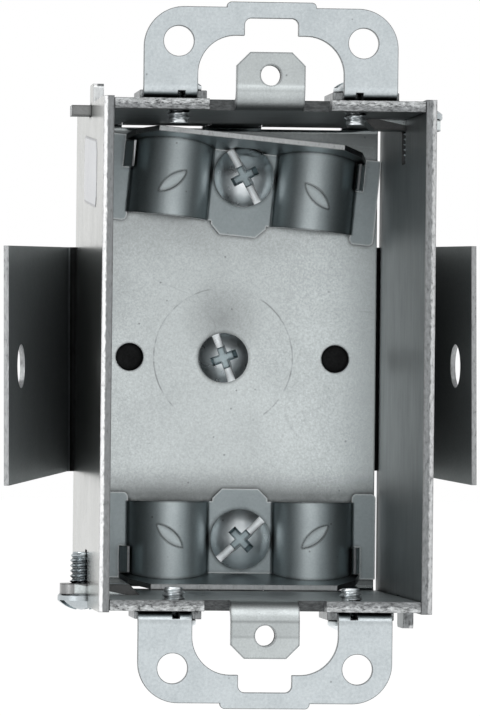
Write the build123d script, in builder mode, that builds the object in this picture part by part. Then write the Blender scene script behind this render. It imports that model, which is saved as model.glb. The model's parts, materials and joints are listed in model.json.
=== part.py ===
from build123d import *
import os
from math import cos, radians, sin, tan

# Gangable steel switch box: a folded body, two removable sides, two plaster ears, two cable
# clamps and a spring bracket whose wings grip the back of a wall board.
# X runs to the right, Z up and Y into the box. The opening faces -Y. The origin lies midway
# between the two device screw holes, on the front face of their tabs. All sizes are in millimetres.

# Box body, one folded sheet
box_height = 76.2
box_depth = 63.5
end_wall_width = 46.4
sheet = 1.59
bend_radius = 0.8
back_side_gap = 0.55
side_gap = 0.1

# Tabs that take the screws of a switch or a receptacle
device_screw_spacing = 83.34
device_hole_diameter = 3.1
tab_width = 10.25
tab_end_margin = 3.43
tab_corner = 2.0
tab_relief_width = 4.0
tab_bend_radius = 1.8

# Cable pry-outs, two in each end wall, with a slot for a screwdriver in the bend of the back
pryout_width = 12.8
pryout_length = 10.0
pryout_slit = 0.7
pryout_spacing = 22.1
pryout_offset = -0.5
pryout_slot_sink = 0.3

# Nail holes in the back
nail_hole_diameter = 4.4
nail_hole_spacing = 32.6

# Screws: number 10, 8 and 6 machine screws with pan heads
clamp_thread_diameter = 4.83
clamp_head_diameter = 9.4
clamp_head_height = 3.0
large_thread_diameter = 4.17
large_head_diameter = 7.8
large_head_height = 2.5
small_thread_diameter = 3.51
small_head_diameter = 6.8
small_head_height = 2.0
thread_clearance = 0.05
head_rim_share = 0.4
head_crown_share = 0.6
slot_width = 1.1
slot_depth_share = 0.5
ear_slot_turn = 20.0
gang_slot_turn = 30.0
upper_clamp_slot_turn = 118.0
lower_clamp_slot_turn = 48.0
ground_slot_turn = 108.0

# Gang lugs of the end walls: a joggled tongue with a screw, and a plain hook bar
gang_screw_depth = 30.0
gang_screw_offset = 2.1
gang_thread_end = 6.4
tongue_width = 6.4
tongue_overhang = 3.5
tongue_corner = 2.0
tongue_lance_gap = 1.2
tongue_joggle_start = 17.5
tongue_joggle_angle = 45.0
hook_bar_depth = 28.0
hook_bar_width = 5.0
hook_bar_overhang = 3.0

# Removable sides
plate_end_overhang = 0.25
plate_clearance = 0.15
hook_lug_width = 8.0
hook_neck_width = 3.6
hook_lug_height = 3.0
hook_lug_corner = 0.8
shank_notch_clearance = 0.35

# Spring bracket across the back
bracket_sheet = 0.75
bracket_height = 35.4
bracket_fold_offset = 1.1
bracket_fold_radius = 1.0
wing_length = 54.0
left_wing_angle = 12.9
right_wing_angle = 6.0
wing_top_drop = 1.0
wing_bottom_drop = 1.6
wing_hole_diameter = 6.6
wing_hole_margin = 11.0
bracket_screw_offset = -1.5
bracket_screw_length = 8.0
bracket_sink = 0.2
bracket_turn = 0.65

# Plaster ears
ear_sheet = 1.2
ear_bend_radius = 0.8
ear_gap = 0.05
ear_width = 38.0
ear_corner = 6.0
ear_lip_width = 13.4
ear_lip_height = 0.8
ear_lip_round_share = 0.9
ear_opening_width = 21.8
ear_opening_height = 9.35
ear_opening_corner = 5.7
ear_notch_width = 8.0
ear_notch_height = 2.6
ear_notch_corner = 1.0
ear_hole_diameter = 4.5
ear_hole_spacing_x = 27.6
ear_hole_spacing_z = 93.2
ear_hole_margin = 5.15
foot_inner_spacing = 18.8
foot_outer_width = 38.8
foot_length = 16.4
foot_corner = 2.0
ear_travel = 6.4
ear_screw_spacing = 26.6
ear_screw_depth = 6.0
ear_screw_tip = 1.8
ear_slot_clearance = 0.2
ear_slit_width = 1.0
ear_slit_height = 1.05

# Cable clamps
clamp_sheet = 0.8
clamp_gap = 0.05
clamp_screw_inset = 7.9
clamp_screw_x = 1.35
clamp_screw_length = 9.5
saddle_spacing = 22.9
saddle_width = 12.6
saddle_fillet = 0.6
saddle_length = 11.2
saddle_wall_side = 5.8
clamp_foot_width = 3.8
clamp_foot_tip = 1.35
clamp_foot_corner = 0.8
tongue_tip_length = 2.0
tongue_tip_width = 8.7
tongue_tip_chamfer = 1.5
flange_height = 10.0
flange_lean = 9.5
flange_base_width = 38.2
flange_shoulder_inset = 1.15
flange_shoulder_height = 5.7
flange_web_length = 4.1
flange_web_height = 5.2
flange_web_thickness = 1.4
flange_front_width = 29.3
clamp_slot_length = 2.4
clamp_slot_clearance = 0.25
clamp_head_clearance = 0.15
bite_length = 5.6
bite_width = 2.0
bite_depth = 0.5
bite_angle = 42.0
upper_clamp_turn = 5.3
upper_clamp_shift = 2.0
lower_clamp_turn = 0.0
lower_clamp_shift = 0.55

# Places worked out from the sizes above
half_height = box_height / 2
wall_inner = half_height - sheet
back_inner = box_depth - sheet
wall_half_width = end_wall_width / 2
plate_inner = wall_half_width + side_gap
plate_outer = plate_inner + sheet
plate_half_height = half_height + plate_end_overhang
back_half_width = plate_inner - back_side_gap
fold_depth = sheet + bend_radius
tab_fold_depth = sheet + tab_bend_radius
tab_end = device_screw_spacing / 2 + tab_end_margin
gang_screw_x = wall_half_width + gang_screw_offset
tongue_reach = gang_screw_x + tongue_overhang
hook_bar_reach = plate_outer + hook_bar_overhang
gang_lance_width = large_head_diameter + tongue_lance_gap
clamp_screw_z = wall_inner - clamp_screw_inset
ear_seat = half_height + ear_gap
ear_fold_depth = ear_sheet + ear_bend_radius
ear_top = ear_hole_spacing_z / 2 + ear_hole_margin
ear_reach = ear_top - ear_seat
ear_head_seat = ear_seat + ear_sheet + ear_gap
ear_slot_width = small_thread_diameter + 2 * ear_slot_clearance
TOP, BOTTOM = 1, -1
LEFT, RIGHT = -1, 1


def front_plane(end, depth=0.0):
    """Plane across the box at a depth, facing the opening; turned half round at the bottom end."""
    return Plane(origin=(0, depth, 0), x_dir=(end, 0, 0), z_dir=(0, -1, 0))


def section_plane(end):
    """Middle plane along the depth, with its Y pointing at the top or the bottom end wall."""
    return Plane(origin=(0, 0, 0), x_dir=(0, 1, 0), z_dir=(end, 0, 0))


def wall_plane(end, height):
    """Plane on an end wall at a height above the middle, facing outwards."""
    return Plane(origin=(0, 0, end * height), x_dir=(end, 0, 0), z_dir=(0, 0, end))


def pan_screw(seat, thread_diameter, head_diameter, head_height, length, slot_turn):
    """Pan-head screw with a slot; the head stands on the seat plane."""
    thread_radius = thread_diameter / 2
    head_radius = head_diameter / 2
    profile_plane = Plane(origin=seat.origin, x_dir=seat.x_dir, z_dir=-seat.y_dir)
    with BuildPart() as screw:
        with BuildSketch(profile_plane):
            with BuildLine():
                Polyline(
                    (0, head_height),
                    (0, -length),
                    (thread_radius, -length),
                    (thread_radius, 0),
                    (head_radius, 0),
                    (head_radius, head_rim_share * head_height),
                    (head_crown_share * head_radius, head_height),
                    close=True,
                )
            make_face()
        revolve(axis=Axis(seat.origin, seat.z_dir))
        with BuildSketch(seat.offset(head_height)):
            Rectangle(head_diameter, slot_width, rotation=slot_turn)
        extrude(amount=-slot_depth_share * head_height, mode=Mode.SUBTRACT)
    return screw.part


def folded_section(end, seat, thickness, radius, top):
    """Section of a sheet that lies on an end wall and folds outwards at the front edge."""
    fold = thickness + radius
    centre = (fold, seat + fold)
    with BuildSketch(section_plane(end)) as section:
        with BuildLine():
            CenterArc(centre, fold, start_angle=180, arc_size=90)
            CenterArc(centre, radius, start_angle=180, arc_size=90)
            Line((fold, seat), (fold, seat + thickness))
            Polyline((0, seat + fold), (0, top), (thickness, top), (thickness, seat + fold))
        make_face()
    return section.sketch


# Box body: back, end walls, device tabs and gang lugs folded from one sheet
tab_sections = {
    end: folded_section(end, wall_inner, sheet, tab_bend_radius, tab_end) for end in (TOP, BOTTOM)
}
with BuildPart() as box_body:
    with BuildSketch(Plane.YZ) as outside:
        Rectangle(box_depth, box_height, align=(Align.MIN, Align.CENTER))
        fillet(outside.vertices().group_by(Axis.X)[-1], radius=fold_depth)
    extrude(amount=wall_half_width, both=True)
    with BuildSketch(Plane.YZ) as inside:
        Rectangle(back_inner, 2 * wall_inner, align=(Align.MIN, Align.CENTER))
        fillet(inside.vertices().group_by(Axis.X)[-1], radius=bend_radius)
    extrude(amount=wall_half_width, both=True, mode=Mode.SUBTRACT)

    # The back stops short of both sides
    with BuildSketch(Plane.XY.offset(-half_height)):
        for side in (LEFT, RIGHT):
            with Locations((side * back_half_width, box_depth - fold_depth)):
                Rectangle(
                    wall_half_width,
                    fold_depth,
                    align=(Align.MIN if side == RIGHT else Align.MAX, Align.MIN),
                )
    extrude(amount=box_height, mode=Mode.SUBTRACT)

    for end in (TOP, BOTTOM):
        # Device tab, folded outwards between two relief notches
        with BuildSketch(wall_plane(end, half_height)):
            Rectangle(
                tab_width + 2 * tab_relief_width,
                tab_fold_depth,
                align=(Align.CENTER, Align.MIN),
            )
        extrude(amount=-sheet, mode=Mode.SUBTRACT)
        extrude(tab_sections[end], amount=tab_width / 2, both=True)
        with BuildSketch(front_plane(end)):
            with Locations((0, device_screw_spacing / 2)):
                Circle(device_hole_diameter / 2)
        extrude(amount=-sheet, mode=Mode.SUBTRACT)

        # Cable pry-outs: each tab is cut free on both sides and by the slot in the bend
        with BuildSketch(wall_plane(end, half_height)):
            for side in (LEFT, RIGHT):
                with Locations((pryout_offset + side * pryout_spacing / 2, box_depth - fold_depth)):
                    Rectangle(
                        pryout_width + 2 * pryout_slit,
                        pryout_length + pryout_slit,
                        align=(Align.CENTER, Align.MAX),
                    )
                with Locations((pryout_offset + side * pryout_spacing / 2, box_depth - fold_depth - pryout_slit)):
                    Rectangle(
                        pryout_width,
                        pryout_length,
                        align=(Align.CENTER, Align.MAX),
                        mode=Mode.SUBTRACT,
                    )
        extrude(amount=-sheet, mode=Mode.SUBTRACT)
        with BuildSketch(front_plane(end, box_depth)):
            for side in (LEFT, RIGHT):
                with Locations((pryout_offset + side * pryout_spacing / 2, half_height)):
                    Rectangle(
                        pryout_width,
                        sheet + pryout_slot_sink,
                        align=(Align.CENTER, Align.MAX),
                    )
        extrude(amount=fold_depth, mode=Mode.SUBTRACT)

        # Gang tongue: lanced out of the wall and joggled inwards by one thickness
        with BuildSketch(front_plane(end, gang_screw_depth + gang_lance_width / 2)):
            with Locations((tongue_joggle_start, half_height)):
                Rectangle(wall_half_width, sheet, align=(Align.MIN, Align.MAX))
        extrude(amount=gang_lance_width, mode=Mode.SUBTRACT)
        joggle_run = sheet / tan(radians(tongue_joggle_angle))
        joggle_inset = sheet * tan(radians(tongue_joggle_angle / 2))
        with BuildSketch(front_plane(end, gang_screw_depth + tongue_width / 2)):
            with BuildLine():
                Polyline(
                    (tongue_joggle_start, half_height),
                    (tongue_joggle_start + joggle_run, wall_inner),
                    (tongue_reach, wall_inner),
                    (tongue_reach, wall_inner - sheet),
                    (tongue_joggle_start + joggle_run - joggle_inset, wall_inner - sheet),
                    (tongue_joggle_start - joggle_inset, wall_inner),
                    close=True,
                )
            make_face()
        extrude(amount=tongue_width)
        with Locations((end * gang_screw_x, gang_screw_depth, end * (wall_inner - sheet / 2))):
            Cylinder(large_thread_diameter / 2 + thread_clearance, 2 * sheet, mode=Mode.SUBTRACT)

        # Hook bar on the other edge of the same wall
        with BuildSketch(front_plane(end, hook_bar_depth + hook_bar_width)):
            with Locations((-wall_half_width, wall_inner)):
                Rectangle(hook_bar_reach - wall_half_width, sheet, align=(Align.MAX, Align.MIN))
        extrude(amount=hook_bar_width)

        # Tapped holes for the ear screws
        with BuildSketch(wall_plane(end, half_height)):
            for side in (LEFT, RIGHT):
                with Locations((side * ear_screw_spacing / 2, ear_screw_depth)):
                    Circle(small_thread_diameter / 2 + thread_clearance)
        extrude(amount=-sheet, mode=Mode.SUBTRACT)

    # Holes of the back: two for nails, three tapped for the clamp screws and the bracket screw
    with BuildSketch(front_plane(TOP, box_depth)):
        with Locations((-nail_hole_spacing / 2, 0), (nail_hole_spacing / 2, 0)):
            Circle(nail_hole_diameter / 2)
        with Locations((clamp_screw_x, clamp_screw_z), (clamp_screw_x, -clamp_screw_z)):
            Circle(clamp_thread_diameter / 2 + thread_clearance)
        with Locations((bracket_screw_offset, 0)):
            Circle(large_thread_diameter / 2 + thread_clearance)
    extrude(amount=sheet, mode=Mode.SUBTRACT)

    tab_edges = box_body.edges().filter_by(Axis.Y).group_by(Axis.Z)
    chamfer(tab_edges[0] + tab_edges[-1], length=tab_corner)
    tongue_edges = box_body.edges().filter_by(Axis.Z).group_by(Axis.X)
    fillet(tongue_edges[0] + tongue_edges[-1], radius=tongue_corner)


def side_plate(side):
    """One removable side, hooked on a bar at one end and caught by a gang screw at the other."""
    outer_face = Plane(origin=(side * plate_outer, 0, 0), x_dir=(0, 1, 0), z_dir=(-side, 0, 0))
    throat_start = hook_bar_depth - plate_clearance
    throat_end = hook_bar_depth + hook_bar_width + plate_clearance
    lug_start = throat_start - hook_neck_width
    lug_end = lug_start + hook_lug_width
    tongue_inner = wall_inner - sheet - plate_clearance
    with BuildPart() as plate:
        with BuildSketch(outer_face) as outline:
            Rectangle(box_depth, 2 * plate_half_height, align=(Align.MIN, Align.CENTER))
            with Locations((lug_start, half_height + plate_clearance)):
                Rectangle(hook_lug_width, hook_lug_height, align=(Align.MIN, Align.MIN))
            # Throat of the hook, open to the back behind the lug
            with Locations((throat_start, wall_inner - plate_clearance)):
                Rectangle(
                    throat_end - throat_start,
                    sheet + 2 * plate_clearance,
                    align=(Align.MIN, Align.MIN),
                    mode=Mode.SUBTRACT,
                )
            with Locations((lug_end, wall_inner)):
                Rectangle(
                    throat_end - lug_end,
                    2 * sheet,
                    align=(Align.MIN, Align.MIN),
                    mode=Mode.SUBTRACT,
                )
            # Notch for the tongue, its screw and the screw's head
            with Locations((gang_screw_depth, -plate_half_height)):
                Rectangle(
                    tongue_width + 2 * plate_clearance,
                    plate_half_height - tongue_inner,
                    align=(Align.CENTER, Align.MIN),
                    mode=Mode.SUBTRACT,
                )
                Rectangle(
                    large_head_diameter + 2 * shank_notch_clearance,
                    plate_half_height - wall_inner,
                    align=(Align.CENTER, Align.MIN),
                    mode=Mode.SUBTRACT,
                )
                Rectangle(
                    large_thread_diameter + 2 * shank_notch_clearance,
                    plate_half_height - wall_inner + gang_thread_end + shank_notch_clearance,
                    align=(Align.CENTER, Align.MIN),
                    mode=Mode.SUBTRACT,
                )
            fillet(outline.vertices().group_by(Axis.Y)[-1], radius=hook_lug_corner)
        extrude(amount=sheet)
    return plate.part


left_side = side_plate(LEFT)
right_side = side_plate(RIGHT)


def wing_point(side, angle, distance):
    """Point on the inner face of a wing, at a distance from its fold."""
    fold_x = plate_outer + bracket_fold_offset
    return (
        side * (fold_x + distance * sin(radians(angle))),
        box_depth - distance * cos(radians(angle)),
    )


# Spring bracket: one strap across the back with two wings folded forwards
wing_angles = {LEFT: left_wing_angle, RIGHT: right_wing_angle}
bracket_rear = box_depth + bracket_sheet
bracket_top = bracket_height / 2 - bracket_sink
bracket_bottom = -bracket_height / 2 - bracket_sink
wing_hole_drop = bracket_sink + (wing_top_drop + wing_bottom_drop) / 2
with BuildPart() as spring_bracket:
    with BuildSketch(Plane.XY.offset(-bracket_height)):
        with BuildLine():
            FilletPolyline(
                wing_point(LEFT, left_wing_angle, wing_length),
                wing_point(LEFT, left_wing_angle, 0),
                wing_point(RIGHT, right_wing_angle, 0),
                wing_point(RIGHT, right_wing_angle, wing_length),
                radius=bracket_fold_radius,
            )
            offset(amount=bracket_sheet, side=Side.LEFT)
        make_face()
    extrude(amount=2 * bracket_height)
    # The wings' edges run down a little towards the tips
    with BuildSketch(Plane.YZ):
        with BuildLine():
            Polyline(
                (bracket_rear, bracket_top),
                (box_depth, bracket_top),
                (box_depth - wing_length, bracket_top - wing_top_drop),
                (box_depth - wing_length, bracket_bottom - wing_bottom_drop),
                (box_depth, bracket_bottom),
                (bracket_rear, bracket_bottom),
                close=True,
            )
        make_face()
    extrude(amount=plate_outer + wing_length, both=True, mode=Mode.INTERSECT)
    for side in (LEFT, RIGHT):
        turn = radians(wing_angles[side])
        hole_distance = wing_length - wing_hole_margin
        hole_x, hole_y = wing_point(side, wing_angles[side], hole_distance)
        hole_plane = Plane(
            origin=(hole_x, hole_y, -wing_hole_drop),
            x_dir=(0, 0, 1),
            z_dir=(side * cos(turn), sin(turn), 0),
        )
        with BuildSketch(hole_plane):
            Circle(wing_hole_diameter / 2)
        extrude(amount=2 * bracket_sheet, both=True, mode=Mode.SUBTRACT)
    with BuildSketch(front_plane(TOP, bracket_rear)):
        with Locations((bracket_screw_offset, 0)):
            Circle(large_thread_diameter / 2 + thread_clearance)
    extrude(amount=bracket_sheet, mode=Mode.SUBTRACT)
bracket_axis = Axis((bracket_screw_offset, 0, 0), (0, -1, 0))
turned_bracket = spring_bracket.part.rotate(bracket_axis, bracket_turn)


def plaster_ear(end):
    """One plaster ear: a stamped face and two slotted feet on the outside of an end wall."""
    section = folded_section(end, ear_seat, ear_sheet, ear_bend_radius, ear_top + ear_lip_height)
    with BuildPart() as ear:
        extrude(section, amount=ear_width / 2, both=True)
        with BuildSketch(front_plane(end)):
            with Locations((0, ear_seat)):
                RectangleRounded(ear_width, 2 * ear_reach, ear_corner)
            with Locations((0, ear_top)):
                RectangleRounded(
                    ear_lip_width,
                    2 * ear_lip_height,
                    ear_lip_round_share * ear_lip_height,
                )
            with Locations((0, ear_seat)):
                RectangleRounded(
                    ear_opening_width,
                    2 * ear_opening_height,
                    ear_opening_corner,
                    mode=Mode.SUBTRACT,
                )
            with Locations((0, ear_seat + ear_opening_height)):
                RectangleRounded(
                    ear_notch_width,
                    2 * ear_notch_height,
                    ear_notch_corner,
                    mode=Mode.SUBTRACT,
                )
            for side in (LEFT, RIGHT):
                with Locations((side * ear_hole_spacing_x / 2, ear_hole_spacing_z / 2)):
                    Circle(ear_hole_diameter / 2, mode=Mode.SUBTRACT)
        extrude(amount=-ear_fold_depth, mode=Mode.INTERSECT)

        # Feet, each with a slot that lets the ear slide under its screw
        foot_width = (foot_outer_width - foot_inner_spacing) / 2
        with BuildSketch(wall_plane(end, ear_seat)) as feet:
            for side in (LEFT, RIGHT):
                with Locations((side * (foot_inner_spacing + foot_width) / 2, ear_fold_depth)):
                    Rectangle(foot_width, foot_length - ear_fold_depth, align=(Align.CENTER, Align.MIN))
            fillet(feet.vertices().group_by(Axis.Y)[-1], radius=foot_corner)
            for side in (LEFT, RIGHT):
                with Locations((side * ear_screw_spacing / 2, ear_screw_depth + ear_travel / 2)):
                    SlotCenterToCenter(ear_travel, ear_slot_width, rotation=90, mode=Mode.SUBTRACT)
        extrude(amount=ear_sheet)

        # Narrow slits that run from the slots through the fold
        with BuildSketch(front_plane(end)):
            for side in (LEFT, RIGHT):
                with Locations((side * ear_screw_spacing / 2, ear_seat)):
                    Rectangle(ear_slit_width, 2 * ear_slit_height)
        extrude(amount=-ear_screw_depth, mode=Mode.SUBTRACT)
    return ear.part


upper_ear = plaster_ear(TOP)
lower_ear = plaster_ear(BOTTOM)


def clamp_plane(end, turn, shift):
    """Plane of a clamp on the back: X across, Y out of the box, Z from the end wall to the middle."""
    at_screw = Plane(
        origin=(clamp_screw_x, back_inner - clamp_gap, end * clamp_screw_z),
        x_dir=(end, 0, 0),
        z_dir=(0, 0, -end),
    )
    return at_screw.rotated((0, turn, 0)).offset(shift)


def cable_clamp(place, slot_place, screw_place):
    """Stamped clamp with two half-round saddles, a screw tongue and a leaning flange at the wall."""
    saddle_radius = saddle_width / 2
    half_width = saddle_spacing / 2 + saddle_radius + clamp_foot_width
    flange_rise = tan(radians(flange_lean))
    flange_thickness = clamp_sheet / cos(radians(flange_lean))
    flange_foot = -saddle_wall_side
    saddle_places = [(-saddle_spacing / 2, 0), (saddle_spacing / 2, 0)]
    side_view = Plane(origin=place.origin, x_dir=place.z_dir, z_dir=-place.x_dir)
    flat_plane = Plane(origin=place.origin, x_dir=place.x_dir, z_dir=place.y_dir)
    with BuildSketch() as lens:
        with BuildLine():
            ThreePointArc((-bite_length / 2, 0), (0, bite_width / 2), (bite_length / 2, 0))
            ThreePointArc((-bite_length / 2, 0), (0, -bite_width / 2), (bite_length / 2, 0))
        make_face()
    with BuildPart() as clamp:
        # Feet, saddles and tongue in one section, run from the flange to the middle
        wall_reach = saddle_wall_side + flange_height * flange_rise
        with BuildSketch(place.offset(-wall_reach)) as section:
            with Locations((0, clamp_sheet / 2)):
                Rectangle(2 * half_width, clamp_sheet)
            with Locations(*saddle_places):
                Circle(saddle_radius)
            with Locations(*saddle_places):
                Circle(saddle_radius - clamp_sheet, mode=Mode.SUBTRACT)
            with Locations((0, 0)):
                Rectangle(
                    2 * half_width,
                    saddle_width,
                    align=(Align.CENTER, Align.MAX),
                    mode=Mode.SUBTRACT,
                )
            bends = section.vertices().filter_by(lambda v: abs(v.X) < half_width - clamp_sheet)
            fillet(bends.group_by(Axis.Y)[-1], radius=saddle_fillet)
            fillet(bends.group_by(Axis.Y)[0], radius=saddle_fillet / 2)
        extrude(amount=wall_reach + saddle_length - saddle_wall_side)

        # Everything beyond the outer face of the leaning flange is trimmed off
        flange_top = flange_foot - flange_height * flange_rise
        with BuildSketch(side_view):
            with BuildLine():
                Polyline(
                    (flange_foot - flange_thickness, 0),
                    (flange_top - flange_thickness, flange_height),
                    (flange_foot - flange_height, flange_height),
                    (flange_foot - flange_height, 0),
                    close=True,
                )
            make_face()
        extrude(amount=half_width, both=True, mode=Mode.SUBTRACT)
        with BuildSketch(side_view):
            with BuildLine():
                Polyline(
                    (flange_foot, 0),
                    (flange_top, flange_height),
                    (flange_top - flange_thickness, flange_height),
                    (flange_foot - flange_thickness, 0),
                    close=True,
                )
            make_face()
        extrude(amount=flange_base_width / 2, both=True)

        # Webs that stiffen the ends of the flange
        web_x = flange_base_width / 2 - flange_web_thickness / 2
        with BuildSketch(place.offset(flange_foot)):
            with Locations((-web_x, 0), (web_x, 0)):
                Rectangle(flange_web_thickness, flange_web_height, align=(Align.CENTER, Align.MIN))
        extrude(amount=flange_web_length)

        # Slanted ends of the flange, and the way in for the cables under the saddles
        with BuildSketch(place.offset(-wall_reach - clamp_sheet)):
            for side in (LEFT, RIGHT):
                with BuildLine():
                    Polyline(
                        (side * flange_base_width / 2, clamp_sheet),
                        (side * (flange_base_width / 2 - flange_shoulder_inset), flange_shoulder_height),
                        (side * flange_front_width / 2, flange_height),
                        (side * flange_base_width / 2, flange_height),
                        close=True,
                    )
                make_face()
            with Locations(*saddle_places):
                Circle(saddle_radius - clamp_sheet)
        extrude(amount=wall_reach, mode=Mode.SUBTRACT)

        # Rounded tips of the feet and the chamfered tip of the tongue, beyond the saddles
        saddle_end = saddle_length - saddle_wall_side
        with BuildSketch(flat_plane) as foot_tips:
            for side in (LEFT, RIGHT):
                with Locations((side * (half_width - clamp_foot_width / 2), -saddle_end)):
                    Rectangle(clamp_foot_width, clamp_foot_tip, align=(Align.CENTER, Align.MAX))
            fillet(foot_tips.vertices().group_by(Axis.Y)[0], radius=clamp_foot_corner)
        extrude(amount=clamp_sheet)
        with BuildSketch(flat_plane) as tongue:
            with Locations((0, -saddle_end)):
                Rectangle(tongue_tip_width, tongue_tip_length, align=(Align.CENTER, Align.MAX))
            chamfer(tongue.vertices().group_by(Axis.Y)[0], length=tongue_tip_chamfer)
        extrude(amount=clamp_sheet)
        with BuildSketch(flat_plane):
            with Locations((0, slot_place)):
                SlotCenterToCenter(
                    clamp_slot_length,
                    clamp_thread_diameter + 2 * clamp_slot_clearance,
                    rotation=90,
                )
        extrude(amount=clamp_sheet, mode=Mode.SUBTRACT)

        # Room for the screw's head in front of the flange
        with BuildSketch(flat_plane.offset(clamp_sheet)):
            with Locations((0, screw_place)):
                Circle(clamp_head_diameter / 2 + clamp_head_clearance)
        extrude(amount=clamp_head_height, mode=Mode.SUBTRACT)

        # Slanted lens-shaped dents that bite the cable
        with BuildSketch(flat_plane.offset(saddle_radius)):
            for side in (LEFT, RIGHT):
                with Locations(Location((side * saddle_spacing / 2, 0), -side * bite_angle)):
                    add(lens.sketch)
        extrude(amount=-bite_depth, mode=Mode.SUBTRACT)
    return clamp.part


clamp_slot_centre = (upper_clamp_shift + lower_clamp_shift) / 2
upper_clamp = cable_clamp(
    clamp_plane(TOP, upper_clamp_turn, upper_clamp_shift), clamp_slot_centre, upper_clamp_shift
)
lower_clamp = cable_clamp(
    clamp_plane(BOTTOM, lower_clamp_turn, lower_clamp_shift), clamp_slot_centre, lower_clamp_shift
)


def back_seat(x, z, depth):
    """Seat of a screw that is driven into the back from inside the box."""
    return Plane(origin=(x, depth, z), x_dir=(1, 0, 0), z_dir=(0, -1, 0))


def clamp_screw(end, slot_turn):
    """Number 10 screw that holds a cable clamp down on the back."""
    return pan_screw(
        back_seat(clamp_screw_x, end * clamp_screw_z, back_inner - clamp_gap - clamp_sheet),
        clamp_thread_diameter,
        clamp_head_diameter,
        clamp_head_height,
        clamp_screw_length,
        slot_turn,
    )


def ear_screw(end, side):
    """Number 6 screw through an ear's foot into an end wall."""
    seat = wall_plane(end, ear_head_seat)
    place = Plane(
        origin=(side * ear_screw_spacing / 2, ear_screw_depth, end * ear_head_seat),
        x_dir=seat.x_dir,
        z_dir=seat.z_dir,
    )
    length = ear_head_seat - wall_inner + ear_screw_tip
    slot_turn = ear_slot_turn * side
    return pan_screw(
        place, small_thread_diameter, small_head_diameter, small_head_height, length, slot_turn
    )


def gang_screw(end):
    """Number 8 screw of a gang tongue; its head rests on the notch of the side plate."""
    place = Plane(
        origin=(end * gang_screw_x, gang_screw_depth, end * wall_inner),
        x_dir=(end, 0, 0),
        z_dir=(0, 0, end),
    )
    return pan_screw(
        place,
        large_thread_diameter,
        large_head_diameter,
        large_head_height,
        gang_thread_end,
        gang_slot_turn,
    )


upper_clamp_screw = clamp_screw(TOP, upper_clamp_slot_turn)
lower_clamp_screw = clamp_screw(BOTTOM, lower_clamp_slot_turn)
ground_screw = pan_screw(
    back_seat(bracket_screw_offset, 0, back_inner),
    large_thread_diameter,
    large_head_diameter,
    large_head_height,
    bracket_screw_length,
    ground_slot_turn,
)

ear_screw_solids = [ear_screw(end, side) for end in (TOP, BOTTOM) for side in (LEFT, RIGHT)]
with BuildPart() as ear_screws:
    add(ear_screw_solids)

gang_screw_solids = [gang_screw(end) for end in (TOP, BOTTOM)]
with BuildPart() as gang_screws:
    add(gang_screw_solids)

pieces = {
    "box_body": box_body.part,
    "left_side": left_side,
    "right_side": right_side,
    "spring_bracket": turned_bracket,
    "upper_ear": upper_ear,
    "lower_ear": lower_ear,
    "ear_screws": ear_screws.part,
    "gang_screws": gang_screws.part,
    "upper_clamp": upper_clamp,
    "lower_clamp": lower_clamp,
    "upper_clamp_screw": upper_clamp_screw,
    "lower_clamp_screw": lower_clamp_screw,
    "ground_screw": ground_screw,
}
os.makedirs("parts", exist_ok=True)
for name, piece in pieces.items():
    piece.label = name
    export_step(piece, f"parts/{name}.step")
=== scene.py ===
import json
import math
import bmesh
import bpy
from mathutils import Matrix, Vector
from mathutils.bvhtree import BVHTree


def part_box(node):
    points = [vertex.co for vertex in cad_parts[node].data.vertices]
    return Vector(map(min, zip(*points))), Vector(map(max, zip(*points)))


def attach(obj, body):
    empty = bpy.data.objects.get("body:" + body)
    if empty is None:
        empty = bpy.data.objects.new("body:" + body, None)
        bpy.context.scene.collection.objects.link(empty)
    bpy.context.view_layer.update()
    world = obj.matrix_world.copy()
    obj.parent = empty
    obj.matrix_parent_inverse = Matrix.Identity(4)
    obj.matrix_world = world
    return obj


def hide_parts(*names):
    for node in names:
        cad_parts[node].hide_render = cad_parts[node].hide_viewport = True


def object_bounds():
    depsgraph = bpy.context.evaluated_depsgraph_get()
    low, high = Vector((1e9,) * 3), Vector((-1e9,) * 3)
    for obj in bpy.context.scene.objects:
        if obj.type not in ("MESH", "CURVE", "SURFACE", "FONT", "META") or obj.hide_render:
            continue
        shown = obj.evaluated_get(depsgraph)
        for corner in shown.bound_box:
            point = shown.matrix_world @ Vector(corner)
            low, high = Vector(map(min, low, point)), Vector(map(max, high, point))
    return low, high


# Looks of a steel switch box: zinc finishes with sheared edges, real screw threads, a bare label,
# studio light and the camera. All sizes are in metres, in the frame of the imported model.
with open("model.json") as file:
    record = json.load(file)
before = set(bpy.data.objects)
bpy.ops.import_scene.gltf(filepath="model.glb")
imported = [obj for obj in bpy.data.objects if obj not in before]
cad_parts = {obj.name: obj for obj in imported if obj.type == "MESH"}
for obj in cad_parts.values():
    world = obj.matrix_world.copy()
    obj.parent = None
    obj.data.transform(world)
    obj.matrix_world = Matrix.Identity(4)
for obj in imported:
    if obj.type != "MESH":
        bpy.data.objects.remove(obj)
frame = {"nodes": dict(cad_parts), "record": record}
cad_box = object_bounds()
nodes = frame["nodes"]
MM = 0.001

# Sheet thicknesses, as in the model
BOX_SHEET = 1.59 * MM
EAR_SHEET = 1.2 * MM
CLAMP_SHEET = 0.8 * MM
BRACKET_SHEET = 0.75 * MM

# Places in the model by which faces and fades are found
back_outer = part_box("box_body")[1].y
side_low, side_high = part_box("right_side")
wall_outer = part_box("upper_ear")[0].z
wall_inner = wall_outer - BOX_SHEET
ear_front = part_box("upper_ear")[0].y
clamp_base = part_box("upper_clamp")[1].y
ground_low, ground_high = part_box("ground_screw")
screw_line = (ground_low.x + ground_high.x) / 2

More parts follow.
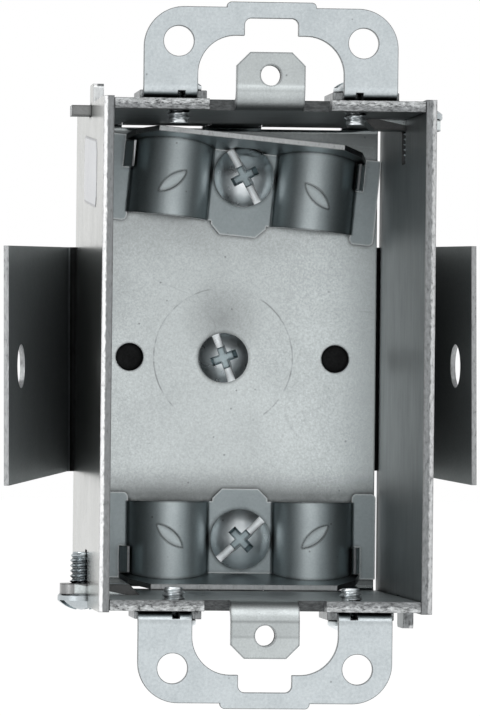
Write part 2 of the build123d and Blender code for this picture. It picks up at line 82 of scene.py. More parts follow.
# Finishes: bright and dark colour (linear), roughness, size of the clouds and of the grain; and perhaps the
# colour of edge lines (painted shade, on the clamp a painted highlight), the tone of painted shade in
# crevices, the stretch of the grain by rolling, how metallic the surface is, and the grain's relief and
# detail
SHEET = {
    "bright": (0.83, 0.89, 0.895), "dark": (0.54, 0.58, 0.585), "rough": 0.23,
    "clouds": 11 * MM, "grain": 0.3 * MM, "edge": (0.09, 0.095, 0.10),
}
TAB = {
    "bright": (0.83, 0.885, 0.89), "dark": (0.55, 0.59, 0.595), "rough": 0.40,
    "clouds": 3 * MM, "grain": 0.3 * MM, "edge": (0.07, 0.075, 0.08),
}
SIDE = {
    "bright": (0.46, 0.47, 0.45), "dark": (0.37, 0.38, 0.36), "rough": 0.22,
    "clouds": 7 * MM, "grain": 0.4 * MM,
}
# Inner faces of the sides and walls: darker copies of the same zinc, painted shade inside the box
SIDE_INSIDE_SHADED = {
    "bright": (0.27, 0.29, 0.295), "dark": (0.16, 0.175, 0.18), "rough": 0.40,
    "clouds": 9 * MM, "grain": 0.4 * MM, "rolled": (1, 1, 0.04),
}
WALL_INSIDE_SHADED = {
    "bright": (0.46, 0.50, 0.51), "dark": (0.28, 0.305, 0.31), "rough": 0.38,
    "clouds": 9 * MM, "grain": 0.4 * MM, "rolled": (0.04, 1, 1),
}
EAR = {
    "bright": (0.69, 0.74, 0.76), "dark": (0.42, 0.465, 0.485), "rough": 0.33,
    "clouds": 4 * MM, "grain": 0.45 * MM,
}
CLAMP = {
    "bright": (0.43, 0.48, 0.495), "dark": (0.34, 0.39, 0.405), "rough": 0.40,
    "clouds": 6 * MM, "grain": 0.3 * MM, "edge": (0.85, 0.87, 0.87),
}
# Saddles: a lighter copy of the clamp finish, painted light on the half-rounds; their dark edge lines are
# painted shade
SADDLE_PAINTED_LIGHT = {
    "bright": (0.74, 0.81, 0.825), "dark": (0.60, 0.67, 0.69), "rough": 0.46,
    "clouds": 6 * MM, "grain": 0.3 * MM, "edge": (0.10, 0.11, 0.115),
}
BRACKET = {
    "bright": (0.42, 0.455, 0.475), "dark": (0.29, 0.315, 0.335), "rough": 0.48,
    "clouds": 9 * MM, "grain": 0.4 * MM,
}
SCREW = {
    "bright": (0.86, 0.90, 0.92), "dark": (0.74, 0.79, 0.81), "rough": 0.30,
    "clouds": 2 * MM, "grain": 1.5 * MM, "crevice_shade": 0.0, "metal": 0.9, "relief": 0.0, "detail": 1.0,
}
# Gang screws: a darker copy of the screw finish, painted shade
SCREW_PAINTED_SHADE = {
    "bright": (0.50, 0.54, 0.56), "dark": (0.36, 0.40, 0.42), "rough": 0.24,
    "clouds": 2 * MM, "grain": 0.25 * MM, "crevice_shade": 0.0,
}
LUG = {
    "bright": (0.32, 0.325, 0.325), "dark": (0.21, 0.214, 0.215), "rough": 0.35,
    "clouds": 3 * MM, "grain": 0.3 * MM, "edge": (0.05, 0.05, 0.05),
}
# Near black for faces seen only in shade, the strap's face on the back and the collars' bores: painted
# shade
PAINTED_SHADE_BLACK = {
    "bright": (0.030, 0.031, 0.032), "dark": (0.012, 0.012, 0.012), "rough": 0.5,
    "clouds": 3 * MM, "grain": 0.3 * MM,
}
RECESS = {
    "bright": (0.58, 0.68, 0.71), "dark": (0.42, 0.51, 0.54), "rough": 0.40,
    "clouds": 0.8 * MM, "grain": 0.2 * MM, "edge": (0.06, 0.08, 0.09), "crevice_shade": 0.75, "metal": 0.82,
}

# Clouds, grain, scratches, pits, painted shade in crevices, and edge lines of painted shade (painted
# highlight on the clamp) of all finishes. A range holds the raw values between which a mark comes up, and a
# tone is its strength.
CLOUD_DETAIL = 4.0
CLOUD_RANGE = (0.30, 0.72)
CLOUD_SHARE = 0.3
GRAIN_DETAIL = 5.0
GRAIN_ROUGHNESS = 0.72
GRAIN_RANGE = (0.28, 0.72)
GRAIN_RELIEF = 0.2
GRAIN_DEPTH = 0.006 * MM
ROUGH_SPREAD = (-0.05, 0.07)
SCRATCH_SIZE = 14 * MM
SCRATCH_WIDTH = 0.006
SCRATCH_BEND = 0.6
SCRATCH_PATCH = 0.7
SCRATCH_PATCH_RANGE = (0.56, 0.68)
SCRATCH_TONE = 0.6
SCRATCH_RELIEF = 0.5
PIT_SPACING = 2.6 * MM
PIT_RADIUS = 0.075
PIT_FLOOR = 0.4
PIT_TONE = 0.55
PIT_COLOUR = (0.10, 0.105, 0.11)
CREVICE_REACH = 0.7 * MM
CREVICE_RANGE = (0.4, 0.92)
CREVICE_SHADE_TONE = 0.25
EDGE_REACH = 0.45 * MM
EDGE_RANGE = (0.985, 0.88)
EDGE_TONE = 0.9
SHADER_SAMPLES = 4

# Ring on the back round the ground screw, and a soft patch of painted shade above the screw
RING_RADIUS = 11 * MM
RING_WIDTH = 0.18 * MM
RING_BREAK = 4 * MM
RING_BREAK_RANGE = (0.46, 0.6)
RING_TONE = 0.6
SHADE_PATCH_LIFT = 6 * MM
SHADE_PATCH_RADIUS = 7 * MM
SHADE_PATCH_TONE = 0.66

# Sheared edges: the smooth land that the blade leaves, torn metal, dark gaps, and painted shade on the
# borders
LAND_COLOUR = (0.24, 0.25, 0.255)
# Floor of the notches beside the tabs: dark land, painted shade in the notch
NOTCH_SHADE_LAND = (0.085, 0.09, 0.092)
LINE_LAND = (0.20, 0.21, 0.215)
STRIP_LAND = (0.36, 0.37, 0.375)
BRIGHT_LAND = (0.80, 0.82, 0.825)
GREY_METAL = (0.45, 0.465, 0.47)
# Torn metal: lighter on the left side's edge, painted light; darker on the right side's edge, painted shade
TORN_PAINTED_SHADE = (0.54, 0.55, 0.555)
TORN_PAINTED_LIGHT = (0.95, 0.96, 0.965)
GAP_COLOUR = (0.06, 0.062, 0.064)
GAP_RANGE = (0.44, 0.34)
BLOTCH_SIZE = 3 * MM
BLOTCH_RANGE = (0.40, 0.56)
TEAR_SIZE = 0.38 * MM
TEAR_DETAIL = 4.0
TEAR_ROUGHNESS = 0.7
TEAR_STRETCH = 0.35
TEAR_RELIEF = 0.9
TEAR_DEPTH = 0.15 * MM
TORN_RANGE = (0.42, 0.58)
STREAK_RANGE = (0.34, 0.66)
STREAK_DARK = 0.45
STREAK_LIGHT = 0.4
LAND_ROUGH = 0.30
TORN_ROUGH = 0.52
SHEARED_METAL = 0.85

# Label paper
LABEL_COLOUR = (0.88, 0.89, 0.91)
LABEL_SHADE = (0.80, 0.815, 0.84)
# Painted shadow round the label's rim
LABEL_RIM_SHADOW = (0.42, 0.42, 0.43)
FIBRE_SIZE = 0.4 * MM
FIBRE_RANGE = (0.3, 0.7)
FIBRE_RELIEF = 0.3
FIBRE_DEPTH = 0.01 * MM
STAIN_SIZE = 6 * MM
STAIN_RANGE = (0.12, 0.4)
PAPER_ROUGH = (0.4, 0.55)
RIM_FIBRE_SIZE = 0.5 * MM
RIM_ROUGH = 0.6


# Shader helpers

def new_material(name):
    """Empty node material with a Principled shader; returns the material, its tree and the shader."""
    material = bpy.data.materials.new(name)
    material.use_nodes = True
    tree = material.node_tree
    tree.nodes.clear()
    output = tree.nodes.new("ShaderNodeOutputMaterial")
    shader = tree.nodes.new("ShaderNodeBsdfPrincipled")
    tree.links.new(shader.outputs["BSDF"], output.inputs["Surface"])
    return material, tree, shader


def set_input(tree, socket, value):
    """Links a socket to another one, or sets it to a constant."""
    if isinstance(value, bpy.types.NodeSocket):
        tree.links.new(value, socket)
    else:
        socket.default_value = value


def place(tree, stretch=(1, 1, 1)):
    """Object coordinates in metres, stretched along the axes."""
    coordinates = tree.nodes.new("ShaderNodeTexCoord")
    mapping = tree.nodes.new("ShaderNodeMapping")
    mapping.inputs["Scale"].default_value = stretch
    tree.links.new(coordinates.outputs["Object"], mapping.inputs["Vector"])
    return mapping.outputs["Vector"]


def coordinate(tree, axis):
    """Object coordinate on one axis, in metres."""
    parts = tree.nodes.new("ShaderNodeSeparateXYZ")
    tree.links.new(place(tree), parts.inputs["Vector"])
    return parts.outputs[axis]


def noise(tree, size, detail=3.0, roughness=0.55, stretch=(1, 1, 1), distortion=0.0):
    """Noise with grains of about the given size; returns its value from 0 to 1."""
    node = tree.nodes.new("ShaderNodeTexNoise")
    node.inputs["Scale"].default_value = 1 / size
    node.inputs["Detail"].default_value = detail
    node.inputs["Roughness"].default_value = roughness
    node.inputs["Distortion"].default_value = distortion
    tree.links.new(place(tree, stretch), node.inputs["Vector"])
    return node.outputs["Fac"]


def remap(tree, value, from_low, from_high, to_low=0.0, to_high=1.0):
    """Value moved from one range to another and kept inside it."""
    node = tree.nodes.new("ShaderNodeMapRange")
    node.inputs["From Min"].default_value = from_low
    node.inputs["From Max"].default_value = from_high
    node.inputs["To Min"].default_value = to_low
    node.inputs["To Max"].default_value = to_high
    set_input(tree, node.inputs["Value"], value)
    return node.outputs["Result"]


def calculate(tree, operation, first, second=0.0):
    """One step of arithmetic on two values."""
    node = tree.nodes.new("ShaderNodeMath")
    node.operation = operation
    set_input(tree, node.inputs[0], first)
    set_input(tree, node.inputs[1], second)
    return node.outputs["Value"]


def times(tree, first, second):
    """Product of two values."""
    return calculate(tree, "MULTIPLY", first, second)


def off_by(tree, value, middle):
    """How far a value lies from a middle, either way."""
    return calculate(tree, "ABSOLUTE", calculate(tree, "SUBTRACT", value, middle))


def blend(tree, factor, first, second):
    """Colour between two colours."""
    node = tree.nodes.new("ShaderNodeMix")
    node.data_type = "RGBA"
    set_input(tree, node.inputs["Factor"], factor)
    for socket, colour in ((node.inputs["A"], first), (node.inputs["B"], second)):
        set_input(tree, socket, colour if isinstance(colour, bpy.types.NodeSocket) else (*colour, 1.0))
    return node.outputs["Result"]


def shaded(tree, colour, factor):
    """Colour times a factor."""
    node = tree.nodes.new("ShaderNodeVectorMath")
    node.operation = "SCALE"
    set_input(tree, node.inputs["Vector"], colour)
    tree.links.new(factor, node.inputs["Scale"])
    return node.outputs["Vector"]


def bump(tree, shader, height, strength, distance):
    """Bump from a height value."""
    node = tree.nodes.new("ShaderNodeBump")
    node.inputs["Strength"].default_value = strength
    node.inputs["Distance"].default_value = distance
    tree.links.new(height, node.inputs["Height"])
    tree.links.new(node.outputs["Normal"], shader.inputs["Normal"])


def along(tree, axis, stops):
    """Factor that follows stops, pairs of a place on an axis of the object and the factor there."""
    start = stops[0][0]
    length = stops[-1][0] - start
    ramp = tree.nodes.new("ShaderNodeValToRGB")
    elements = ramp.color_ramp.elements
    for at, _ in stops[1:-1]:
        elements.new((at - start) / length)
    for element, (_, factor) in zip(elements, stops):
        element.color = (factor, factor, factor, 1)
    tree.links.new(remap(tree, coordinate(tree, axis), start, start + length), ramp.inputs["Fac"])
    return ramp.outputs["Color"]


def distance_from(tree, x, z):
    """Distance from a line along the depth of the box."""
    offset = tree.nodes.new("ShaderNodeVectorMath")
    offset.operation = "MULTIPLY_ADD"
    offset.inputs[1].default_value = (1, 0, 1)
    offset.inputs[2].default_value = (-x, 0, -z)
    tree.links.new(place(tree), offset.inputs[0])
    length = tree.nodes.new("ShaderNodeVectorMath")
    length.operation = "LENGTH"
    tree.links.new(offset.outputs["Vector"], length.inputs[0])
    return length.outputs["Value"]


# Marks on metal

def hairlines(tree):
    """Fine wandering scratches: the contour lines of a smooth noise, kept in patches."""
    wander = noise(tree, SCRATCH_SIZE, detail=1.0, distortion=SCRATCH_BEND)
    line = remap(tree, off_by(tree, wander, 0.5), 0.0, SCRATCH_WIDTH, 1.0, 0.0)
    patches = remap(tree, noise(tree, SCRATCH_SIZE * SCRATCH_PATCH, detail=2.0), *SCRATCH_PATCH_RANGE)
    return times(tree, line, patches)


def specks(tree):
    """Small pits, scattered."""
    node = tree.nodes.new("ShaderNodeTexVoronoi")
    node.inputs["Scale"].default_value = 1 / PIT_SPACING
    tree.links.new(place(tree), node.inputs["Vector"])
    return remap(tree, node.outputs["Distance"], PIT_RADIUS, PIT_RADIUS * PIT_FLOOR)


def witness_ring(tree):
    """Faint broken circle that a washer has left round the ground screw."""
    gap = off_by(tree, distance_from(tree, screw_line, 0.0), RING_RADIUS)
    line = remap(tree, gap, 0.0, RING_WIDTH, 1.0, 0.0)
    return times(tree, line, remap(tree, noise(tree, RING_BREAK), *RING_BREAK_RANGE))


def painted_shade_patch(tree):
    """Factor of a soft patch of painted shade above the ground screw."""
    distance = distance_from(tree, screw_line, SHADE_PATCH_LIFT)
    return remap(tree, distance, 0.0, SHADE_PATCH_RADIUS, SHADE_PATCH_TONE, 1.0)


def painted_crevice_shade(tree, deepest):
    """Painted shade: one in the open, falling to the deepest tone in corners and beside walls that stand
    close.
    """
    node = tree.nodes.new("ShaderNodeAmbientOcclusion")
    node.samples = SHADER_SAMPLES
    node.inputs["Distance"].default_value = CREVICE_REACH
    return remap(tree, node.outputs["AO"], *CREVICE_RANGE, deepest, 1.0)


def edges(tree, reach):
    """One on the borders of a face, where a rounded edge would turn away, else zero."""
    rounded = tree.nodes.new("ShaderNodeBevel")
    rounded.samples = SHADER_SAMPLES
    rounded.inputs["Radius"].default_value = reach
    plain = tree.nodes.new("ShaderNodeNewGeometry")
    match = tree.nodes.new("ShaderNodeVectorMath")
    match.operation = "DOT_PRODUCT"
    tree.links.new(rounded.outputs["Normal"], match.inputs[0])
    tree.links.new(plain.outputs["Normal"], match.inputs[1])
    return remap(tree, match.outputs["Value"], *EDGE_RANGE)


def torn_share(tree, tears, across, span, wear):
    """Zero on the land, the inner half of a span across the sheet, and one on the torn outer half."""
    depth = calculate(tree, "ABSOLUTE", coordinate(tree, across))
    wander = times(tree, calculate(tree, "SUBTRACT", tears, 0.5), min(1.0, wear))
    level = calculate(tree, "ADD", remap(tree, depth, *span), wander)
    return remap(tree, level, *TORN_RANGE)


# Materials

def zinc(name, finish, fades=(), ring=False):
    """Zinc-coated or bare steel: cloudy tone, grain, scratches, pits, painted shade in crevices, perhaps
    edge lines of painted shade (painted highlight on the clamp).

    Fades are pairs of an axis and stops along it. The ring brings the witness ring round the ground screw
    and a patch of painted shade above it. The painted shade of crevices and of that patch, and the fades,
    dim the colour and also the reflections at a low angle.
    """
    material, tree, shader = new_material(name)
    clouds = remap(tree, noise(tree, finish["clouds"], CLOUD_DETAIL), *CLOUD_RANGE)
    rolled = finish.get("rolled", (1, 1, 1))
    detail = finish.get("detail", GRAIN_DETAIL)
    grains = remap(tree, noise(tree, finish["grain"], detail, GRAIN_ROUGHNESS, rolled), *GRAIN_RANGE)
    grain_part = times(tree, grains, 1 - CLOUD_SHARE)
    tone = calculate(tree, "ADD", times(tree, clouds, CLOUD_SHARE), grain_part)
    lines = hairlines(tree)
    colour = blend(tree, tone, finish["bright"], finish["dark"])
    colour = blend(tree, times(tree, lines, SCRATCH_TONE), colour, finish["dark"])
    # Painted shade in corners and beside walls that stand close
    factor = painted_crevice_shade(tree, finish.get("crevice_shade", CREVICE_SHADE_TONE))
    if ring:
        colour = blend(tree, times(tree, witness_ring(tree), RING_TONE), colour, PIT_COLOUR)
        # Painted shade: a soft dark patch above the ground screw
        factor = times(tree, factor, painted_shade_patch(tree))
    for axis, stops in fades:
        factor = times(tree, factor, along(tree, axis, stops))
    colour = blend(tree, times(tree, specks(tree), PIT_TONE), colour, PIT_COLOUR)
    colour = shaded(tree, colour, factor)
    # Edge lines: painted shade along face borders, a painted highlight where the edge colour is light
    if "edge" in finish:
        colour = blend(tree, times(tree, edges(tree, EDGE_REACH), EDGE_TONE), colour, finish["edge"])
    tree.links.new(colour, shader.inputs["Base Color"])
    # The painted shade also dims the reflections at a low angle
    tree.links.new(factor, shader.inputs["Specular Tint"])
    shader.inputs["Metallic"].default_value = finish.get("metal", 1.0)
    smoothest, roughest = (finish["rough"] + spread for spread in ROUGH_SPREAD)
    tree.links.new(remap(tree, tone, 0.0, 1.0, smoothest, roughest), shader.inputs["Roughness"])
    relief = calculate(tree, "SUBTRACT", grains, times(tree, lines, SCRATCH_RELIEF))
    bump(tree, shader, relief, finish.get("relief", GRAIN_RELIEF), GRAIN_DEPTH)
    return material


def sheared(name, land, torn=None, across="X", span=None, border=0.6, line=0.5, wear=1.0):
    """Sheared edge: land, perhaps torn metal on the outer half of a span, gaps, and painted shade on its
    borders.

    The span runs across the sheet. The border is the strength of the painted shade on the borders, line its
    reach as a share of EDGE_REACH, and wear the strength of gaps, streaks and relief.
    """
    material, tree, shader = new_material(name)
    stretch = (TEAR_STRETCH, 1, 1) if across == "Z" else (1, 1, TEAR_STRETCH)
    tears = noise(tree, TEAR_SIZE, TEAR_DETAIL, TEAR_ROUGHNESS, stretch)
    colour = land
    shader.inputs["Roughness"].default_value = LAND_ROUGH
    if torn:
        share = torn_share(tree, tears, across, span, wear)
        colour = blend(tree, share, land, torn)
        tree.links.new(remap(tree, share, 0.0, 1.0, LAND_ROUGH, TORN_ROUGH), shader.inputs["Roughness"])
    streaks = remap(tree, tears, *STREAK_RANGE, 1 - STREAK_DARK * wear, 1 + STREAK_LIGHT * wear)
    colour = shaded(tree, colour, streaks)
    blotches = remap(tree, noise(tree, BLOTCH_SIZE), *BLOTCH_RANGE, 0.0, wear)
    colour = blend(tree, times(tree, remap(tree, tears, *GAP_RANGE), blotches), colour, GAP_COLOUR)
    # Painted shade along the borders
    colour = blend(tree, times(tree, edges(tree, line * EDGE_REACH), border), colour, GAP_COLOUR)
    tree.links.new(colour, shader.inputs["Base Color"])
    shader.inputs["Metallic"].default_value = SHEARED_METAL
    bump(tree, shader, tears, TEAR_RELIEF * wear, TEAR_DEPTH)
    return material


def label_paper():
    """Plain label paper with nothing on it."""
    material, tree, shader = new_material("label_paper")
    fibres = noise(tree, FIBRE_SIZE, detail=4.0)
    stain = noise(tree, STAIN_SIZE, detail=2.0)
    tone = remap(tree, times(tree, fibres, stain), *STAIN_RANGE)
    tree.links.new(blend(tree, tone, LABEL_COLOUR, LABEL_SHADE), shader.inputs["Base Color"])
    tree.links.new(remap(tree, fibres, *FIBRE_RANGE, *PAPER_ROUGH), shader.inputs["Roughness"])
    bump(tree, shader, fibres, FIBRE_RELIEF, FIBRE_DEPTH)
    return material


def rim_shadow_paper():
    """Darker cut rim of the label: a painted shadow round the paper."""
    material, tree, shader = new_material("label_rim_shadow")
    tone = noise(tree, RIM_FIBRE_SIZE)
    tree.links.new(blend(tree, tone, LABEL_RIM_SHADOW, LABEL_SHADE), shader.inputs["Base Color"])
    shader.inputs["Roughness"].default_value = RIM_ROUGH
    return material


# Fades: painted shade darkens the back towards its ends and away from its right side, the walls upwards,
# and the ears in their bend; lugs darken inside the box. The tabs carry the creases of the bending die, a
# painted highlight along the upper tab's crease, and painted shade in both bends.
BACK_PAINTED_SHADE = (
    ("Z", (
        (-21.5 * MM, 0.36), (-20 * MM, 0.64), (-18 * MM, 0.92), (-16.5 * MM, 1.0), (2 * MM, 1.0),
        (8 * MM, 0.93), (15 * MM, 0.90), (18 * MM, 0.82), (21 * MM, 0.74), (34 * MM, 0.62),
    )),
    ("X", ((-16 * MM, 0.81), (-4 * MM, 0.74), (4 * MM, 0.78), (17 * MM, 1.0))),
)
# Painted shade: the walls' inner faces darken upwards
WALL_PAINTED_SHADE = (("Z", ((-30 * MM, 1.0), (30 * MM, 0.42))),)
# Tab marks: dark die creases; a painted highlight along the upper tab's crease; painted shade in both bends
LOWER_CREASES_AND_SHADE = (
    (-42.2 * MM, 0.74), (-41.95 * MM, 0.50), (-41.7 * MM, 0.66),
    (-39.8 * MM, 0.66), (-39.5 * MM, 0.40), (-39.2 * MM, 0.80), (-36 * MM, 0.80),
)
UPPER_CREASES_SHADE_AND_HIGHLIGHT = (
    (36.6 * MM, 0.28), (38.6 * MM, 0.68), (39.3 * MM, 0.72), (39.5 * MM, 0.45),
    (39.8 * MM, 1.0), (40.1 * MM, 1.0), (40.4 * MM, 0.70), (42 * MM, 0.70),
)
TAB_CREASES_AND_PAINTED_LIGHT = (("Z", LOWER_CREASES_AND_SHADE + UPPER_CREASES_SHADE_AND_HIGHLIGHT),)
LUG_INSIDE = 0.40
LUG_CHANGE = 0.2 * MM
LUG_FADES = (("X", (
    (-side_high.x - LUG_CHANGE, 1.0), (-side_high.x, LUG_INSIDE),
    (side_high.x, LUG_INSIDE), (side_high.x + LUG_CHANGE, 1.0),
)),)
# Painted shade in the ears' bend
EAR_BEND_SHADE = ((0.05 * MM, 1.0), (0.6 * MM, 0.62), (1.8 * MM, 0.42), (3.2 * MM, 0.9))
EAR_PAINTED_SHADE = (("Y", tuple((ear_front + depth, factor) for depth, factor in EAR_BEND_SHADE)),)
SIDE_LAND = 0.4 * MM

sheet_zinc = zinc("zinc_sheet", SHEET)
back_shaded_zinc = zinc("zinc_back_inside_shaded", SHEET, BACK_PAINTED_SHADE, ring=True)
wall_shaded_zinc = zinc("zinc_wall_inside_shaded", WALL_INSIDE_SHADED, WALL_PAINTED_SHADE)
tab_zinc = zinc("zinc_tab", TAB, TAB_CREASES_AND_PAINTED_LIGHT)
lug_zinc = zinc("zinc_lug", LUG, LUG_FADES)
side_zinc = zinc("zinc_side", SIDE)
side_inside_shaded_zinc = zinc("zinc_side_inside_shaded", SIDE_INSIDE_SHADED)
ear_zinc = zinc("zinc_ear", EAR, EAR_PAINTED_SHADE)
clamp_zinc = zinc("zinc_clamp", CLAMP)
saddle_painted_light_zinc = zinc("zinc_saddle_painted_light", SADDLE_PAINTED_LIGHT)
strip_steel = zinc("spring_strip", BRACKET)
shade_black_steel = zinc("painted_shade_strip", PAINTED_SHADE_BLACK)
screw_zinc = zinc("zinc_screw", SCREW)
screw_shaded_zinc = zinc("zinc_screw_painted_shade", SCREW_PAINTED_SHADE)
recess_zinc = zinc("screw_recess", RECESS)
side_span = (side_low.x + SIDE_LAND, side_high.x)
wall_span = (wall_inner, wall_outer)
# The two side edges differ by painted light on the left and painted shade on the right
left_edge = sheared("left_edge", LAND_COLOUR, TORN_PAINTED_LIGHT, "X", side_span, border=0.8, line=0.8, wear=0.35)
right_edge = sheared("right_edge", LAND_COLOUR, TORN_PAINTED_SHADE, "X", side_span, line=0.7, wear=0.6)
post_edge = sheared("post_edge", BRIGHT_LAND, border=0.4, wear=0.25)
wall_edge = sheared("wall_edge", LAND_COLOUR, GREY_METAL, "Z", wall_span, wear=1.5)
# The notch floors take the darkest land, painted shade
relief_edge = sheared("relief_edge", NOTCH_SHADE_LAND, across="Z")
# Cut edges of the two like clamps: a lighter copy, painted light, on the upper; a darker copy, painted
# shade, on the lower
clamp_edge_painted_light = sheared("clamp_edge_light_painted", BRIGHT_LAND, border=0.7, wear=0.2)
clamp_edge_painted_shade = sheared("clamp_edge_shade_painted", GREY_METAL, border=0.7, wear=0.2)
claw_edge = sheared("clamp_claw_edge", LINE_LAND, wear=0.3)
ear_edge = sheared("ear_edge", LAND_COLOUR)
ear_line = sheared("ear_line", LINE_LAND)
strip_edge = sheared("strip_edge", STRIP_LAND, border=0.3, wear=0.4)


# Faces of the sheet pieces, told apart by their place and the way they face. CUT_WIDTH and CUT_DEPTH count
# sheet thicknesses; FORWARDS and UPRIGHT are limits for parts of a face's normal.

CUT_WIDTH = 1.2
CUT_DEPTH = 1.45
RAY_START = 0.01 * MM
FORWARDS = -0.9
UPRIGHT = 0.5
SADDLE_FORWARDS = -0.05
CLAW_REACH = 14.8 * MM
NOTCH_FROM = 1 * MM
NOTCH_TO = 5 * MM
TAB_DEPTH = 3.5 * MM
TAB_MARGIN = 0.1 * MM


def sheared_faces(piece, thickness):
    """Indices of the faces on a cut edge: about as wide as the sheet, with more metal than that behind."""
    corners = [vertex.co for vertex in piece.data.vertices]
    tree = BVHTree.FromPolygons(corners, [face.vertices for face in piece.data.polygons])
    found = []
    for face in piece.data.polygons:
        first, second, third = (corners[index] for index in face.vertices)
        longest = max((first - second).length, (second - third).length, (third - first).length)
        width = 2 * face.area / longest
        start = face.center - face.normal * RAY_START
        distance = tree.ray_cast(start, -face.normal)[3]
        is_deep = distance is None or distance > CUT_DEPTH * thickness
        if width < CUT_WIDTH * thickness and is_deep:
            found.append(face.index)
    return found


def is_sheared(face, is_cut):
    """True for a cut edge."""
    return is_cut


def is_front(face, is_cut):
    """True for a cut edge that faces the opening."""
    return is_cut and face.normal.y < FORWARDS


def looks_inside(face, is_cut):
    """True for the inner face of a wall or a side."""
    across = face.normal.x * face.center.x + face.normal.z * face.center.z
    return not is_cut and abs(face.normal.y) < UPRIGHT and across < 0


def on_back(face, is_cut):
    """True for the inner face of the back."""
    return not is_cut and face.normal.y < FORWARDS and face.center.y > back_outer - 2 * BOX_SHEET


def on_tab(face, is_cut):
    """True for the front of a device tab and its bend."""
    return not is_cut and face.center.y < TAB_DEPTH and abs(face.center.z) > wall_inner - TAB_MARGIN


def in_relief(face, is_cut):
    """True for the floor of a notch beside a device tab."""
    return is_front(face, is_cut) and NOTCH_FROM < face.center.y < NOTCH_TO


def on_lug(face, is_cut):
    """True for the cut front of a gang lug or its slot between the walls, and for a lower lug outside."""
    between = abs(face.center.z) < wall_outer
    inside = is_front(face, is_cut) and face.center.y > NOTCH_TO and between
    outside = face.center.z < 0 and abs(face.center.x) > side_high.x
    return inside or outside


def on_post(face, is_cut):
    """True for the cut front of a side's post, above the upper wall."""
    return is_front(face, is_cut) and face.center.z > wall_outer


def on_hook(face, is_cut):
    """True for the cut front of a side's hook, below the lower wall."""
    return is_front(face, is_cut) and face.center.z < -wall_outer


def on_saddle(face, is_cut):
    """True for the half-round outside of a clamp's saddles."""
    stands_out = face.center.y < clamp_base - 2 * CLAMP_SHEET
    is_round = face.normal.y < SADDLE_FORWARDS and abs(face.normal.z) < UPRIGHT
    return stands_out and is_round and not is_cut


def on_claw(face, is_cut):
    """True for the cut edge of a clamp's hooks, outside its saddles."""
    return is_cut and abs(face.center.x - screw_line) > CLAW_REACH


def lies_on_back(face, is_cut):
    """True for the face of the bracket's strap that lies on the back of the box."""
    return not is_cut and face.normal.y < FORWARDS and face.center.y > back_outer - BOX_SHEET


# Sheet pieces of the model

EAR_ROUNDING = 0.1 * MM
ROUNDING_SEGMENTS = 2
ROUNDING_ANGLE = math.radians(40)
WELD_REACH = 0.001 * MM
FLAT_ANGLE = math.radians(0.3)


def dress_sheet(node, finish, thickness, others):
    """Finish on a sheet piece, and on each face the first of the others whose test holds there."""
    piece = nodes[node]
    piece.data.materials.clear()
    piece.data.materials.append(finish)
    for material, _ in others:
        piece.data.materials.append(material)
    cut_faces = set(sheared_faces(piece, thickness))
    for face in piece.data.polygons:
        face.use_smooth = True
        face.material_index = 0
        for index, (_, test) in enumerate(others):
            if test(face, face.index in cut_faces):
                face.material_index = index + 1
                break


def round_edges(node, line):
    """Rounds the edges of an ear; the rounding takes the line's finish."""
    piece = nodes[node]
    piece.modifiers.new("joined_faces", "WELD").merge_threshold = WELD_REACH
    flat = piece.modifiers.new("flat_faces", "DECIMATE")
    flat.decimate_type = "DISSOLVE"
    flat.angle_limit = FLAT_ANGLE
    flat.delimit = {"MATERIAL"}
    rounding = piece.modifiers.new("edge_rounding", "BEVEL")
    rounding.width = EAR_ROUNDING
    rounding.segments = ROUNDING_SEGMENTS
    rounding.limit_method = "ANGLE"
    rounding.angle_limit = ROUNDING_ANGLE
    rounding.use_clamp_overlap = False
    rounding.material = len(piece.data.materials)
    piece.data.materials.append(line)
    piece.modifiers.new("even_shading", "WEIGHTED_NORMAL").keep_sharp = True


box_others = [
    (lug_zinc, on_lug), (relief_edge, in_relief), (wall_edge, is_sheared),
    (tab_zinc, on_tab), (wall_shaded_zinc, looks_inside), (back_shaded_zinc, on_back),
]
dress_sheet("box_body", sheet_zinc, BOX_SHEET, box_others)
for node, edge in (("left_side", left_edge), ("right_side", right_edge)):
    side_others = [
        (lug_zinc, on_lug), (post_edge, on_post), (ear_edge, on_hook),
        (edge, is_sheared), (side_inside_shaded_zinc, looks_inside),
    ]
    dress_sheet(node, side_zinc, BOX_SHEET, side_others)
# The strap's face on the back is near black, painted shade seen through the nail holes
bracket_others = [(strip_edge, is_sheared), (shade_black_steel, lies_on_back)]
dress_sheet("spring_bracket", strip_steel, BRACKET_SHEET, bracket_others)
for node in ("upper_ear", "lower_ear"):
    dress_sheet(node, ear_zinc, EAR_SHEET, [(ear_edge, is_sheared)])
    round_edges(node, ear_line)
for node, edge in (("upper_clamp", clamp_edge_painted_light), ("lower_clamp", clamp_edge_painted_shade)):
    clamp_others = [(claw_edge, on_claw), (edge, is_sheared), (saddle_painted_light_zinc, on_saddle)]
    dress_sheet(node, clamp_zinc, CLAMP_SHEET, clamp_others)


# Screws with real threads and a combination recess. Rim, slot and cross shares are parts of the head's
# height, THREAD_SHARE of the pitch, SLOT_SPAN of the head's diameter, and a floor is the part of a cutter's
# size that is left at its bottom.

